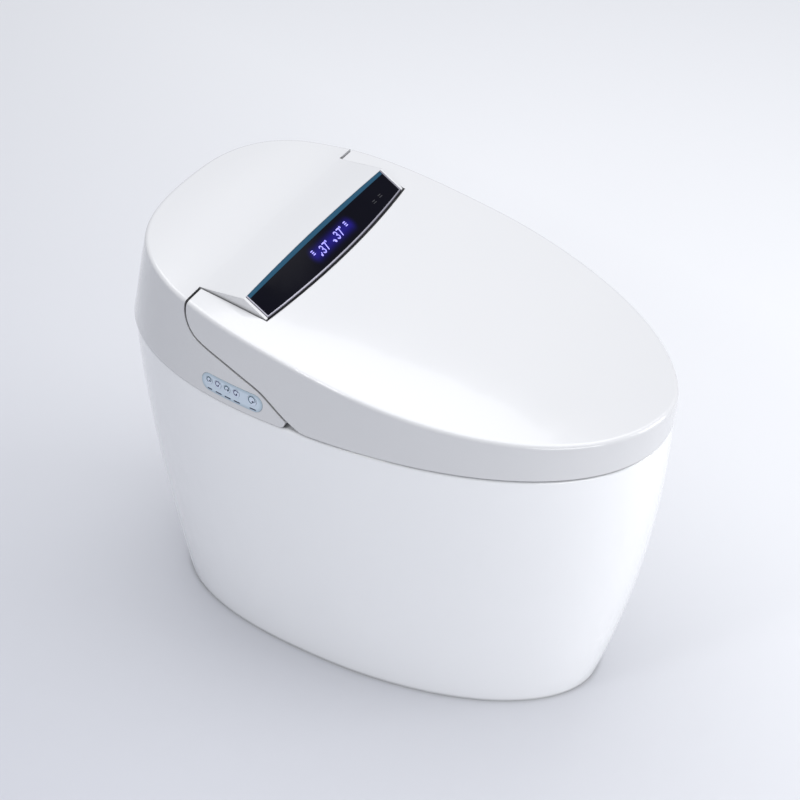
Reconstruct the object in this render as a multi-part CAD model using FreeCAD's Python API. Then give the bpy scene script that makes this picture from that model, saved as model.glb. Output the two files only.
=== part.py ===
"""Floor-standing smart toilet with a heated seat, built as separate pieces.

Millimetres. +Z is up, the bowl's nose points along -Y and the control panel is on the -X side.
The origin is on the floor, at the middle of the outline.
"""
import FreeCAD, Part
import math
import os
from FreeCAD import Vector

# ---------------------------------------------------------------- driving sizes: the outer shape
RIM_HEIGHT = 403.0          # top face of the ceramic pan
SEAM_GAP = 1.5              # open line between the pan and the covers on it
LID_GAP = 3.0               # open line between the lid and the rear cover
NOSE_Y = -337.0
TAIL_Y = 337.0
# Heights of the crease round the top, from the nose to the tail: (y, z).
CREASE_LINE = ((NOSE_Y, 447.0), (-8.0, 484.0), (180.0, 511.0), (305.0, 522.0))
LID_CROWN = 6.0             # rise of the lid's middle above its edge
HUMP_CROWN = 8.0            # the same for the rear cover
TONGUE_RISE = 5.5           # how far the rear cover stands above the lid at the display
CREASE_R = 5.0              # rounding along the crease
SKIRT_WIDTH_CURVE = 1.44    # how soon the skirt swells out from the floor: sides, nose, tail
SKIRT_NOSE_CURVE = 1.92
SKIRT_TAIL_CURVE = 1.55

# ---------------------------------------------------------------- driving sizes: walls
PAN_WALL = 12.0
RIM_ROUND = 3.0             # rounding of the pan's upper edge
DECK_THICK = 14.0
COVER_WALL = 3.0
LID_WALL = 3.5

# ---------------------------------------------------------------- driving sizes: lid, seat and their hinge
HINGE_Y = 149.0
HINGE_Z = 499.0
PIN_R = 2.5
PIN_CLEAR = 0.05            # running clearance round a hinge pin
EAR_R = 31.5                # the lid's two ears end in an arc round the hinge
TONGUE_HALF = 147.0         # half width of the rear cover's tongue between the ears
TONGUE_GAP = 1.5
COVER_FRONT_Y = 118.0       # the rear cover's front wall, behind the seat
WING_TIP_Y = 37.0           # the rear cover's side wings reach this far forward
WING_TIP_R = 7.0            # rounding of their tips, seen from the side
TONGUE_ROOT_Z = 471.0       # underside of the tongue, at the front wall and at its tip
TONGUE_TIP_Z = 488.0
# Side view of the line where the lid meets the rear cover: (y, z), from the ear to the rim.
EAR_LEAVES = math.radians(18.0)     # the line leaves the ear's arc this far behind its lowest point
PARTING = ((HINGE_Y + EAR_R * math.sin(EAR_LEAVES), HINGE_Z - EAR_R * math.cos(EAR_LEAVES)),
           (149.0, 465.9), (132.0, 461.5), (99.0, 451.0), (83.0, 445.5), (70.0, 440.0),
           (60.0, 433.5), (27.0, 411.5), (17.0, 407.0))
PARTING_SLOPE = math.atan2(22.0, 33.0)      # of the line beside the wing's tip
SEAT_BOTTOM = 418.0
SEAT_THICK = 18.0
SEAT_BASE_THICK = 3.0
SEAT_TAIL_Y = 70.0
SEAT_WALL = 3.5
FOIL_THICK = 0.5
FOIL_MARGIN = 22.0          # from the seat's outline to the foil, outside and inside
FOIL_MARGIN_INSIDE = 20.0
SEAT_EDGE_DROP = 2.5        # the seat's rounded shoulder: its depth, and how far it is drawn in
SEAT_SHOULDER = 11.0
SEAT_HOLE_SHOULDER = 14.0
BUMPER_R = 8.0
BUMPER_AIR = 0.3            # a bumper stops this short of what it meets
LID_BUMPERS = ((118.0, -200.0), (148.0, -30.0))     # x, y of the pair on the +X side
SEAT_BUMPERS = ((112.0, -235.0), (152.0, -50.0))
PIN_INNER_X = 136.0         # a hinge pin's inner end, inside its damper
PIN_PAST_ARM = 1.5
DAMPER_R = 9.5
DAMPER_LENGTH = 38.0
DAMPER_FOOT = 12.0          # half the foot's size, and its depth below the hinge line
POST_FLANGE = 4.0
ARM_INNER_X = 154.5
ARM_WIDTH = 9.0
KNUCKLE_R = 4.8
SEAT_SIDE_GAP = 15.0        # from the lid's outside to the seat, at the rim

# ---------------------------------------------------------------- driving sizes: display
DISPLAY_HALF = 143.0
DISPLAY_BACK_Y = 121.0
DISPLAY_END_Y = 92.0        # front edge of the display at its two ends
DISPLAY_BOW = 10.0          # how far the front edge bows towards the nose
GLASS_THICK = 3.0
BEZEL_WIDTH = 2.4
BEZEL_PROUD = 0.5
STRIP_WIDTH = 6.0           # coloured strip along the display's rear edge
BOARD_HALF = 92.0           # half length of the display's circuit board
FIT = 0.15                  # clearance between pieces that are let into each other
OVERLAP = 0.2               # how far solids of one piece run into each other before they are joined

# ---------------------------------------------------------------- driving sizes: control panel
PANEL_Y = 110.0
PANEL_Z = 422.7
PANEL_RUN = 64.2            # between the centres of the panel's round ends
PANEL_R = 11.0
PANEL_PROUD = 0.3
BUTTON_PITCH = 13.1
FIRST_BUTTON_Y = 32.3       # from the panel's middle to its rearmost button
MAIN_BUTTON_Y = -29.2       # and to the large one
BUTTON_RISE = 2.4           # the buttons lie above the panel's middle line, their marks below it
BUTTON_R = 4.7
MAIN_BUTTON_R = 6.2
BUTTON_PROUD = 0.9
BUTTON_TRAVEL = 0.8
DOME_HEIGHT = 0.3
DOME_R = 1.5
STEM_TO_BOARD = 1.2
BOARD_BEHIND = 7.0          # from the panel's face to its board, at the panel's rear end
BOARD_THICK = 1.6
BOARD_MARGIN = 2.0          # the board and its holder reach this far past the panel
HOLDER_WALL = 2.6

# ---------------------------------------------------------------- driving sizes: washing and drying
WAND_R = 7.0
WAND_LENGTH = 108.0
WAND_PITCH = 22.0
GUIDE_HALF = 24.0
WAND_TILT = 18.0            # degrees below the horizon
WAND_TIP = (74.0, 405.0)    # y, z of the stored tips' centre
WAND_CLEAR = 0.3
SPRAY_R = 0.8
SPRAY_PITCH = 4.0
SPRAY_COUNT = 3
GUIDE_WALL = 4.0            # guide above and below the wands
GUIDE_FRONT = 16.0          # from the wands' tips to the guide, its end, its carriage and its motors
GUIDE_BACK = 76.0
CARRIAGE_FRONT = 56.0
CARRIAGE_THICK = 4.0
MOTOR_BACK = 68.0
MOTOR_R = 9.0
MOTOR_HEIGHT = 12.0
GUIDE_FOOT_Y = (148.0, 168.0)
NOTCH_HALF = 100.0          # recess in the pan's deck for the wands and the dryer flap
NOTCH_BACK_Y = 116.0
NOTCH_FLOOR = 372.0
FLAP_X = 66.0
FLAP_WIDTH = 44.0
FLAP_HEIGHT = 22.0
FLAP_THICK = 2.0
DUCT_WALL = 2.5
DUCT_END_Y = 196.0
DUCT_TOP = 440.0
DUCT_FRONT_Y = 92.0
FLAP_STEP = 3.5             # from the duct's mouth forward to the flap's pin
FLAP_PIN_R = 1.0
FLAP_BARREL_R = 2.4
FLAP_SIDE = 0.5             # from the flap to the pin's ears
EAR_THICK = 1.8
EAR_HALF = 2.5
FAN_R = 30.0
FAN_BLADES = 11
BLADE_ROOT_R = 14.0
BLADE_THICK = 1.6
HUB_R = 9.0
AXLE_R = 3.0
FAN_FLOAT = 5.0             # wheel above the chassis plate
WHEEL_THICK = 2.0
BLADE_TOP = 28.0
HUB_TOP = 30.0
AXLE_TOP = 34.0
HOUSING_ROOM = 4.0          # from the fan to its housing, and the housing's wall
HOUSING_WALL = 4.0
HOUSING_FLOOR = 3.0
HOUSING_HEIGHT = 40.0

# ---------------------------------------------------------------- driving sizes: water, waste and power
TRAP_R = 27.0
TRAP_WALL = 11.0
OUTLET_Y = 130.0
OUTLET_GAP = 14.0           # from the floor to the end of the pan's outlet
PIPE_R = 36.0               # the waste pipe that the connector takes
CONNECTOR_FLOOR = OUTLET_GAP - 0.1  # height of the connector's narrow lower part
CONNECTOR_R = TRAP_R + TRAP_WALL + 0.3
CONNECTOR_WALL = 14.0
CONNECTOR_HEIGHT = 27.0
BRACKET_Y = 60.0
BRACKET_WIDTH = 44.0
BRACKET_LEG = 34.0
BRACKET_THICK = 4.0
BRACKET_HOLE_X = 112.0      # from the middle plane to each floor screw
BRACKET_HOLE_R = 4.5
INLET_R = 10.4              # G 1/2 male thread
INLET_BORE_R = 7.0
COLLAR_WALL = 2.0
COLLAR_LENGTH = 12.0
VALVE_BACK_Y = 303.0        # what passes the rear wall starts here
NIPPLE_SHORT = 1.0          # nipple and gland end this far inside the tail
GLAND_SHORT = 4.0
VALVE_HALF = 16.0
VALVE_LENGTH = 28.0
VALVE_ABOVE = 14.0          # the valve's block above the inlet's middle
COIL_R = 11.0
COIL_HEIGHT = 20.0
INLET_X = 62.0
INLET_Z = 438.0
GLAND_R = 3.8
GLAND_WALL = 4.0
GLAND_FLANGE = 7.0          # the flange's wall round the bore, and its length
GLAND_STAND_HALF = 10.0
GLAND_X = -24.0
CHASSIS_THICK = 4.0
CHASSIS_TOP = RIM_HEIGHT + CHASSIS_THICK
CHASSIS_CLEAR = 2.5         # from the plate's edge to the cover's wall
CHASSIS_BOLT_X = 120.0
CHASSIS_BOLT_Y = 178.0
BOLT_HOLE_R = 7.0
BOLT_R = 4.0
BOLT_HEAD_R = 9.0
BOLT_HEAD = 5.0
BOLT_BELOW = 45.0           # a bolt's length below the deck
NUT_R = 13.0
NUT_HEIGHT = 12.0
HEATER_X = (-58.0, 30.0)
HEATER_Y = (248.0, 296.0)
HEATER_HEIGHT = 60.0
HEATER_ROUND = 6.0
PORT_R = 5.0                # hose ports of the heater and the flush valve
PORT_LENGTH = 12.0
HEATER_PORTS = (-20.0, 12.0)
PUMP = (-82.0, 266.0)       # x, y
PUMP_STEPS = ((16.0, 34.0), (12.0, 22.0))       # radius and height of each step, upwards
FLUSH_VALVE = (-6.0, 222.0)
FLUSH_STEPS = ((14.0, 36.0), (9.0, 14.0))
SUPPLY_X = (-140.0, -84.0)
SUPPLY_Y = (196.0, 246.0)
SUPPLY_HEIGHT = 30.0
CONTROL_X = (-60.0, 20.0)
CONTROL_Y = 190.0
CONTROL_THICK = 4.0
CONTROL_HEIGHT = 66.0
CONTROL_FOOT = (2.0, 3.0)   # the board's foot: how far it stands out, and its height
CHIP_PITCH = 22.0
CHIP_WIDTH = 14.0
CHIP_Z = (14.0, 40.0)
DEODORISER_X = (-66.0, -34.0)
DEODORISER_Y = (204.0, 244.0)
DEODORISER_HEIGHT = 44.0
DEODORISER_CAP = (14.0, 6.0)
HOLDER_CLEAR = 0.8          # between the button board's holder and the cover's wall
FLAP_TOP = 411.0            # height of the dryer flap's pin

NODES = {}


class Outline:
    """Egg-shaped plan: a superellipse with its own length and roundness before and behind its widest line."""

    def __init__(self, half_width, widest_y, nose_y, tail_y, nose_power, tail_power):
        self.half_width = half_width
        self.widest_y = widest_y
        self.nose_y = nose_y
        self.tail_y = tail_y
        self.nose_power = nose_power
        self.tail_power = tail_power

    def inset(self, d):
        return Outline(self.half_width - d, self.widest_y, self.nose_y + d, self.tail_y - d,
                       self.nose_power, self.tail_power)

    def at(self, angle):
        """(x, y) at an angle, where 0 is the +X side and a quarter turn is the tail."""
        c, s = math.cos(angle), math.sin(angle)
        power = self.nose_power if s < 0 else self.tail_power
        length = self.widest_y - self.nose_y if s < 0 else self.tail_y - self.widest_y
        k = (abs(c) ** power + abs(s) ** power) ** (-1.0 / power)
        return self.half_width * k * c, self.widest_y + length * k * s

    def half_width_at(self, y):
        power = self.nose_power if y < self.widest_y else self.tail_power
        length = self.widest_y - self.nose_y if y < self.widest_y else self.tail_y - self.widest_y
        share = min(1.0, abs(y - self.widest_y) / length)
        return self.half_width * (1.0 - share ** power) ** (1.0 / power)


RIM = Outline(199.5, 50.0, NOSE_Y + 2.5, TAIL_Y, 2.1, 2.4)
CREASE = Outline(190.5, -8.0, NOSE_Y, CREASE_LINE[-1][0], 1.92, 2.95)
FLOOR = Outline(148.5, 36.5, -266.5, 293.0, 2.0, 2.56)
SEAT = Outline(RIM.half_width - SEAT_SIDE_GAP - LID_WALL, -60.0, RIM.nose_y + SEAT_SIDE_GAP, SEAT_TAIL_Y,
               1.85, 2.4)
SEAT_HOLE = Outline(112.0, -85.0, -270.0, 20.0, 2.2, 2.2)
# The bowl's inside, from the rim down to the sump: (height, outline).
BOWL = ((RIM_HEIGHT + 1.0, Outline(123.0, -110.0, -290.0, 20.0, 2.1, 2.1)),
        (365.0, Outline(117.0, -107.0, -280.0, 16.0, 2.1, 2.1)),
        (300.0, Outline(94.0, -97.0, -245.0, 4.0, 2.0, 2.0)),
        (235.0, Outline(66.0, -80.0, -180.0, -6.0, 2.0, 2.0)),
        (190.0, Outline(46.0, -62.0, -122.0, -10.0, 2.0, 2.0)),
        (168.0, Outline(34.0, -56.0, -96.0, -18.0, 2.0, 2.0)))

# Where the arched sections of the two tops are taken, along Y.
LID_STATIONS = (NOSE_Y - 8.0, -290.0, -190.0, -90.0, 10.0, 100.0, HINGE_Y + EAR_R + 12.0)
COVER_STATIONS = (20.0, 70.0, DISPLAY_BACK_Y, CREASE_LINE[2][0], 240.0, 290.0, TAIL_Y + 5.0)
OUTLINE_POINTS = 40
FULL_TURN = 2.0 * math.pi


# ---------------------------------------------------------------- shape helpers
def closed_wire(points):
    curve = Part.BSplineCurve()
    curve.interpolate(Points=points, PeriodicFlag=True)
    return Part.Wire([curve.toShape()])


def outline_wire(outline, z):
    angles = [FULL_TURN * i / OUTLINE_POINTS for i in range(OUTLINE_POINTS)]
    return closed_wire([Vector(*outline.at(a), z) for a in angles])


def outline_stack(levels):
    """Solid through egg outlines at rising heights: levels is (z, outline) pairs."""
    return Part.makeLoft([outline_wire(o, z) for z, o in levels], True)


def polygon(points):
    return Part.Wire(Part.makePolygon([*points, points[0]]).Edges)


def box(x0, x1, y0, y1, z0, z1):
    return Part.makeBox(x1 - x0, y1 - y0, z1 - z0, Vector(x0, y0, z0))


def rod(start, axis, radius, length):
    return Part.makeCylinder(radius, length, Vector(*start), Vector(*axis))


def side_prism(points, x0, x1):
    """Side-view outline of (y, z) points, drawn through from x0 to x1."""
    face = Part.Face(polygon([Vector(x0, y, z) for y, z in points]))
    return face.extrude(Vector(x1 - x0, 0, 0))


def mirrored(shape):
    return shape.mirror(Vector(0, 0, 0), Vector(1, 0, 0))


def fused(shapes):
    first, *rest = shapes
    return first.fuse(rest).removeSplitter() if rest else first


def keep(name, *solids):
    """Stores the finished solids of one piece, or of one group of like pieces."""
    NODES[name] = Part.makeCompound([s for shape in solids for s in shape.Solids])


def crease_height(y):
    """The cubic through the heights of CREASE_LINE."""
    total = 0.0
    for i, (yi, zi) in enumerate(CREASE_LINE):
        for j, (yj, _) in enumerate(CREASE_LINE):
            if i != j:
                zi *= (y - yj) / (yi - yj)
        total += zi
    return total


def lid_height(x, y):
    edge = CREASE.half_width_at(y)
    return crease_height(y) + LID_CROWN * (edge ** 2 - x ** 2) / CREASE.half_width ** 2


def hump_height(x, y):
    """The rear cover's top: it stays level along the tongue, while the lid beside it falls away."""
    edge = CREASE.half_width_at(y)
    level_y = CREASE_LINE[2][0]
    share = min(max((level_y - y) / (level_y - DISPLAY_BACK_Y), 0.0), 1.0)
    base = crease_height(max(y, level_y)) + TONGUE_RISE * (1.0 - math.cos(math.pi * share)) / 2.0
    return base + HUMP_CROWN * (edge ** 2 - x ** 2) / CREASE.half_width ** 2


def under_top(height_at, stations, drop=0.0):
    """Everything below a crowned top: one arched section at each y of stations."""
    reach = RIM.half_width + 20.0
    floor = RIM_HEIGHT - 40.0
    wires = []
    for y in stations:
        left = Vector(-reach, y, height_at(-reach, y) - drop)
        right = Vector(reach, y, left.z)
        arch = Part.Arc(left, Vector(0, y, height_at(0, y) - drop), right).toShape()
        low_right, low_left = Vector(reach, y, floor), Vector(-reach, y, floor)
        sides = [Part.makeLine(right, low_right), Part.makeLine(low_right, low_left),
                 Part.makeLine(low_left, left)]
        wires.append(Part.Wire([arch, *sides]))
    return Part.makeLoft(wires, True)


def wall_stack(inset, z_low, z_high=560.0):
    """The covers' side wall as a solid: straight lines from the rim up to the crease, and past it."""
    low, high = RIM.inset(inset), CREASE.inset(inset)

    def section(z):
        points = []
        for i in range(OUTLINE_POINTS):
            angle = FULL_TURN * i / OUTLINE_POINTS
            (x0, y0), (x1, y1) = low.at(angle), high.at(angle)
            share = (z - RIM_HEIGHT) / (crease_height(y1) - RIM_HEIGHT)
            points.append(Vector(x0 + (x1 - x0) * share, y0 + (y1 - y0) * share, z))
        return closed_wire(points)

    middle = (z_low + z_high) / 2.0
    return Part.makeLoft([section(z_low), section(middle), section(z_high)], True)


def covers_body(height_at, stations, d):
    """Side wall and crowned top in one solid, drawn in by d; the outside, d of 0, has its crease rounded."""
    low = RIM_HEIGHT + SEAM_GAP if d == 0 else RIM_HEIGHT - 20.0
    body = wall_stack(d, low).common(under_top(height_at, stations, d))
    if d > 0:
        return body
    ends = stations[0], stations[-1]
    crease = []
    for edge in body.Edges:
        middle = edge.valueAt((edge.FirstParameter + edge.LastParameter) / 2.0)
        along_crease = abs(middle.z - crease_height(middle.y)) < 3.0
        if along_crease and min(abs(middle.y - end) for end in ends) > 1.0:
            crease.append(edge)
    return body.makeFillet(CREASE_R, crease)


def parting_curve(shift, x):
    """The parting line as one edge, moved by shift at right angles to itself: up is positive."""
    points = []
    last = len(PARTING) - 1
    for i, (y, z) in enumerate(PARTING):
        (ya, za), (yb, zb) = PARTING[max(i - 1, 0)], PARTING[min(i + 1, last)]
        run = math.hypot(yb - ya, zb - za)
        points.append(Vector(x, y + shift * (zb - za) / run, z - shift * (yb - ya) / run))
    curve = Part.BSplineCurve()
    curve.interpolate(points)
    return curve.toShape(), points


def lid_side_region(grow, floor_z):
    """Side view of the lid: the ear's disc, and all that is ahead of the hinge and above the parting line."""
    x = -RIM.half_width - 30.0
    curve, points = parting_curve(-grow, x)
    first, last = points[0], points[-1]
    top = 600.0
    corners = [last, Vector(x, last.y - 8.0, floor_z), Vector(x, NOSE_Y - 30.0, floor_z),
               Vector(x, NOSE_Y - 30.0, top), Vector(x, first.y, top), first]
    edges = [curve, *[Part.makeLine(a, b) for a, b in zip(corners, corners[1:])]]
    ahead = Part.Face(Part.Wire(Part.__sortEdges__(edges))).extrude(Vector(-2.0 * x, 0, 0))
    return ahead.fuse(rod((x, HINGE_Y, HINGE_Z), (1, 0, 0), EAR_R + grow, -2.0 * x))


def display_front_y(x):
    return DISPLAY_END_Y - DISPLAY_BOW * (1.0 - (x / DISPLAY_HALF) ** 2)


def tongue_plan(half, front_shift, back_y, z0, z1):
    """Plan of the tongue: a bar with a bowed front, as a prism."""
    end_y = display_front_y(half) + front_shift
    middle = Vector(0, display_front_y(0) + front_shift, z0)
    bow = Part.Arc(Vector(-half, end_y, z0), middle, Vector(half, end_y, z0)).toShape()
    corners = [Vector(half, end_y, z0), Vector(half, back_y, z0), Vector(-half, back_y, z0),
               Vector(-half, end_y, z0)]
    lines = [Part.makeLine(a, b) for a, b in zip(corners, corners[1:])]
    return Part.Face(Part.Wire([bow, *lines])).extrude(Vector(0, 0, z1 - z0))


def display_line(x, lift):
    """The display's front and rear edge in one side-view section: (y, z) pairs."""
    front_y = display_front_y(x)
    front_z = lid_height(x, front_y) + lift
    return (front_y, front_z), (DISPLAY_BACK_Y, hump_height(x, DISPLAY_BACK_Y) + lift)


def display_slab(half, front_share, back_share, low, high):
    """A strip of the sloping display, between two shares of its slope and two lifts off its face."""
    wires = []
    for i in range(7):
        x = half * (i / 3.0 - 1.0)
        corners = []
        for lift, shares in ((low, (front_share, back_share)), (high, (back_share, front_share))):
            (y0, z0), (y1, z1) = display_line(x, lift)
            corners += [Vector(x, y0 + (y1 - y0) * s, z0 + (z1 - z0) * s) for s in shares]
        wires.append(polygon(corners))
    return Part.makeLoft(wires, True)


# ---------------------------------------------------------------- ceramic pan
def skirt_outline(share, inset):
    """The pan's outer outline at a share of its height."""
    def swell(low, high, curve):
        return low + (high - low) * (1.0 - (1.0 - share) ** curve)

    def blend(low, high):
        return low + (high - low) * share

    top = RIM.inset(SEAM_GAP)
    return Outline(swell(FLOOR.half_width, top.half_width, SKIRT_WIDTH_CURVE),
                   blend(FLOOR.widest_y, top.widest_y),
                   swell(FLOOR.nose_y, top.nose_y, SKIRT_NOSE_CURVE),
                   swell(FLOOR.tail_y, top.tail_y, SKIRT_TAIL_CURVE),
                   blend(FLOOR.nose_power, top.nose_power),
                   blend(FLOOR.tail_power, top.tail_power)).inset(inset)


def skirt_stack(inset, z_low, z_high):
    shares = (0.0, 0.12, 0.3, 0.5, 0.7, 0.86, 1.0)
    return outline_stack([(z_low + (z_high - z_low) * s,
                           skirt_outline(max(0.0, (z_low + (z_high - z_low) * s) / RIM_HEIGHT), inset))
                          for s in shares])


def trap_path():
    """Centre line of the waste way: up from the sump, over the weir and down to the outlet."""
    sump, rise = Vector(0, -52.0, 186.0), Vector(0, 18.0, 190.0)
    weir = Vector(0, 84.0, 272.0)
    drop, end = Vector(0, OUTLET_Y, 196.0), Vector(0, OUTLET_Y, OUTLET_GAP)
    points = [sump, rise, weir, drop, end]
    radii = [0.0, 34.0, 40.0, 46.0, 0.0]
    edges = []
    last = sump
    for i in range(1, len(points) - 1):
        corner = points[i]
        into = (points[i - 1] - corner).normalize()
        out = (points[i + 1] - corner).normalize()
        half = math.acos(max(-1.0, min(1.0, into.dot(out)))) / 2.0
        back = radii[i] / math.tan(half)
        start, finish = corner + into * back, corner + out * back
        centre = corner + (into + out).normalize() * (radii[i] / math.sin(half))
        middle = centre + (corner - centre).normalize() * radii[i]
        edges += [Part.makeLine(last, start), Part.Arc(start, middle, finish).toShape()]
        last = finish
    edges.append(Part.makeLine(last, end))
    return Part.Wire(edges)


def trap_tube(radius):
    path = trap_path()
    start = path.Edges[0].Vertexes[0].Point
    tangent = path.Edges[0].tangentAt(path.Edges[0].FirstParameter)
    circle = Part.Wire([Part.makeCircle(radius, start, tangent)])
    return path.makePipeShell([circle], True, False)


def make_pan():
    outer = skirt_stack(0.0, 0.0, RIM_HEIGHT)
    outer = outer.makeFillet(RIM_ROUND, [e for e in outer.Edges if e.CenterOfMass.z > RIM_HEIGHT - 1.0
                                         and e.isClosed()])
    hollow = skirt_stack(PAN_WALL, -5.0, RIM_HEIGHT - DECK_THICK)
    bowl_out = outline_stack([(z - PAN_WALL, o.inset(-PAN_WALL)) for z, o in BOWL])
    bowl_in = outline_stack(BOWL)
    notch_wall = PAN_WALL
    liner = box(-NOTCH_HALF - notch_wall, NOTCH_HALF + notch_wall, 0.0, NOTCH_BACK_Y + notch_wall,
                NOTCH_FLOOR - notch_wall, RIM_HEIGHT)
    notch = box(-NOTCH_HALF, NOTCH_HALF, -10.0, NOTCH_BACK_Y, NOTCH_FLOOR, RIM_HEIGHT + 5.0)
    pan = outer.cut(hollow)
    pan = pan.fuse([bowl_out, trap_tube(TRAP_R + TRAP_WALL), liner])
    holes = [rod((x, CHASSIS_BOLT_Y, RIM_HEIGHT - 40.0), (0, 0, 1), BOLT_HOLE_R, 60.0)
             for x in (-CHASSIS_BOLT_X, CHASSIS_BOLT_X)]
    pan = pan.cut([bowl_in, notch, trap_tube(TRAP_R), *holes])
    keep("ceramic_pan", pan)


def ring(outer_r, inner_r, x, y, z0, z1):
    bore = rod((x, y, z0 - 1), (0, 0, 1), inner_r, z1 - z0 + 2)
    return rod((x, y, z0), (0, 0, 1), outer_r, z1 - z0).cut(bore)


def make_floor_fixings():
    """The waste connector under the pan, and the two angle brackets that hold the skirt to the floor."""
    outer_r = CONNECTOR_R + CONNECTOR_WALL
    lower = ring(outer_r, PIPE_R, 0, OUTLET_Y, 0.0, CONNECTOR_FLOOR)
    keep("waste_connector", fused([lower, ring(outer_r, CONNECTOR_R, 0, OUTLET_Y, CONNECTOR_FLOOR,
                                               CONNECTOR_HEIGHT)]))
    brackets = []
    front, back = BRACKET_Y - BRACKET_WIDTH / 2, BRACKET_Y + BRACKET_WIDTH / 2
    wall_x = skirt_outline(0.0, PAN_WALL).half_width_at(back) - FIT
    foot = box(wall_x - BRACKET_LEG, wall_x, front, back, 0.0, BRACKET_THICK)
    riser = box(wall_x - BRACKET_THICK, wall_x, front, back, 0.0, BRACKET_LEG)
    hole = rod((BRACKET_HOLE_X, BRACKET_Y, -1.0), (0, 0, 1), BRACKET_HOLE_R, 10.0)
    bracket = fused([foot, riser]).cut(hole)
    keep("floor_brackets", bracket, mirrored(bracket))


# ---------------------------------------------------------------- rear cover
def cover_body(d):
    """The rear cover drawn in by d on every side: d of 0 is its outside and COVER_WALL its inside."""
    low = RIM_HEIGHT + SEAM_GAP if d == 0 else RIM_HEIGHT - 20.0
    shell = covers_body(hump_height, COVER_STATIONS, d)
    big = RIM.half_width + 40.0
    tip_y, tip_z = WING_TIP_Y + WING_TIP_R, RIM_HEIGHT + SEAM_GAP + WING_TIP_R
    upper_y = tip_y - WING_TIP_R * math.sin(PARTING_SLOPE)
    ahead_of_wings = box(-big, big, NOSE_Y - 40.0, tip_y, 300.0, tip_z)
    ahead_of_wings = ahead_of_wings.fuse(box(-big, big, NOSE_Y - 40.0, upper_y, tip_z, 650.0))
    ahead_of_wings = ahead_of_wings.cut(rod((-big, tip_y, tip_z), (1, 0, 0), WING_TIP_R - d, 2.0 * big))
    between_wings = box(-TONGUE_HALF - d, TONGUE_HALF + d, NOSE_Y - 40.0, COVER_FRONT_Y + d, 300.0, 650.0)
    low_part = shell.cut([lid_side_region(LID_GAP + d, RIM_HEIGHT - 60.0), ahead_of_wings, between_wings])
    tongue = shell.common(tongue_plan(TONGUE_HALF - d, d, TAIL_Y, low - 1, 600.0))
    under = side_prism([(0.0, low - 5), (COVER_FRONT_Y + d, low - 5), (COVER_FRONT_Y + d, TONGUE_ROOT_Z + d),
                        (DISPLAY_END_Y - DISPLAY_BOW - 4.0 + d, TONGUE_TIP_Z + d), (0.0, TONGUE_TIP_Z + d)],
                       -big, big)
    shelf = d + GLASS_THICK if d > 0 else 0.0
    slope = display_slab(TONGUE_HALF + 4.0, -0.6, 1.0, -shelf, 60.0)
    return low_part.fuse(tongue.cut([under, slope]))


def panel_prism(radius, x0, x1):
    """The stadium shape of the control panel as a prism along X."""
    up, along = Vector(0, 0, radius), Vector(0, radius, 0)
    a, b = Vector(x0, PANEL_Y - PANEL_RUN / 2, PANEL_Z), Vector(x0, PANEL_Y + PANEL_RUN / 2, PANEL_Z)
    edges = [Part.makeLine(a + up, b + up), Part.Arc(b + up, b + along, b - up).toShape(),
             Part.makeLine(b - up, a - up), Part.Arc(a - up, a - along, a + up).toShape()]
    return Part.Face(Part.Wire(edges)).extrude(Vector(x1 - x0, 0, 0))


def button_centres():
    """(name, radius, y, z): four alike and a larger one towards the nose."""
    small = ("stop_button", "rear_wash_button", "front_wash_button", "dryer_button")
    z = PANEL_Z + BUTTON_RISE
    row = [(name, BUTTON_R, PANEL_Y + FIRST_BUTTON_Y - BUTTON_PITCH * i, z) for i, name in enumerate(small)]
    return [*row, ("flush_button", MAIN_BUTTON_R, PANEL_Y + MAIN_BUTTON_Y, z)]


def wall_half_width(y, z, inset=0.0):
    """Half width of the covers' side wall at a place behind its widest line."""
    low, high = RIM.inset(inset), CREASE.inset(inset)
    first, last = -math.pi / 2, math.pi / 2
    for _ in range(40):
        angle = (first + last) / 2.0
        (x0, y0), (x1, y1) = low.at(angle), high.at(angle)
        share = (z - RIM_HEIGHT) / (crease_height(y1) - RIM_HEIGHT)
        if y0 + (y1 - y0) * share < y:
            first = angle
        else:
            last = angle
    return x0 + (x1 - x0) * share


def make_rear_cover():
    cover = cover_body(0.0).cut(cover_body(COVER_WALL))
    cuts = [panel_prism(PANEL_R + FIT, -RIM.half_width - 10, -160.0),
            display_slab(DISPLAY_HALF + FIT, -0.02, 1.0, -GLASS_THICK - FIT, 40.0)]
    cuts.append(display_slab(BOARD_HALF + 1.0, 0.2, 0.85, -20.0, 20.0))
    half, top = GUIDE_HALF + 1.0, CHASSIS_TOP + 30.0
    cuts.append(box(-half, half, COVER_FRONT_Y - 5, COVER_FRONT_Y + 10, RIM_HEIGHT - 5, top))
    half, top = FLAP_WIDTH / 2 + DUCT_WALL + 1.0, DUCT_TOP + 1.0
    cuts.append(box(FLAP_X - half, FLAP_X + half, COVER_FRONT_Y - 5, COVER_FRONT_Y + 10, RIM_HEIGHT - 5, top))
    cuts.append(rod((-TONGUE_HALF - 5, HINGE_Y, HINGE_Z), (1, 0, 0), PIN_R + FIT, 2 * TONGUE_HALF + 10))
    for x, radius in ((INLET_X, INLET_R + 2.0 + FIT), (GLAND_X, GLAND_R + 4.0 + FIT)):
        cuts.append(rod((x, 280.0, INLET_Z), (0, 1, 0), radius, 80.0))
    for tool in cuts:
        cover = cover.cut(tool)
    keep("rear_cover", cover)


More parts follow.
